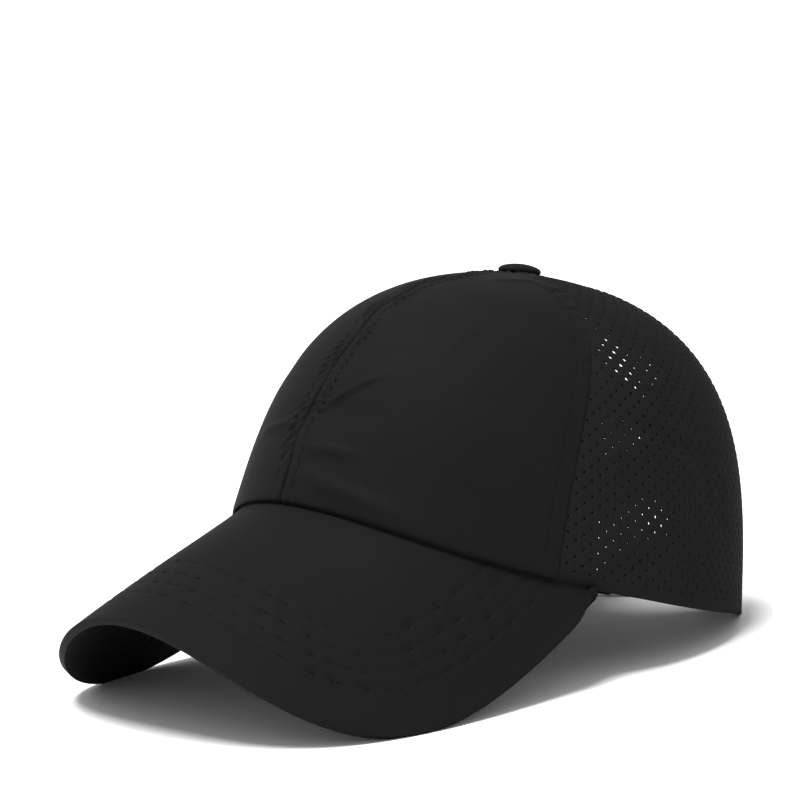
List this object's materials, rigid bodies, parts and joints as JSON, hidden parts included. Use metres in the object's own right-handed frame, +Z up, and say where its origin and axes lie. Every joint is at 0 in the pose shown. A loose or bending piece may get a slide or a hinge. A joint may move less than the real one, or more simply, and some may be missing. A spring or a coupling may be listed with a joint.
{
  "type": "ponytail baseball cap",
  "caption": "Black baseball cap with a curved brim, pierced back panels, a top button, and a tall ponytail opening with crossed straps and a slider closure.",
  "frame": {"origin": "the middle of the base of the cap's box, on the surface that the cap rests on", "axes": "+Z up, -Y to the front where the brim points, +X to the wearer's left"},
  "size_m": [0.1658, 0.2532, 0.1324],
  "materials": {
    "crown_cloth": "matt black twill",
    "pierced_cloth": "matt black twill with small staggered holes",
    "brim_cloth": "matt black twill over a stiff brim, with rows of stitching",
    "binding_webbing": "matt black folded binding tape",
    "strap_webbing": "matt black woven tape",
    "buckle_plastic": "moulded black plastic, low gloss"
  },
  "bodies": {
    "root": {"front_panel_left": "crown_cloth", "front_panel_right": "crown_cloth", "back_panel_left": "pierced_cloth", "back_panel_right": "pierced_cloth", "opening_binding_left": "binding_webbing", "opening_binding_right": "binding_webbing", "cross_strap_outer": "strap_webbing", "cross_strap_inner": "strap_webbing", "closure_strap": "strap_webbing", "buckle_tab": "strap_webbing", "slider_buckle": "buckle_plastic", "brim": "brim_cloth", "top_button": "crown_cloth"}
  },
  "joints": []
}
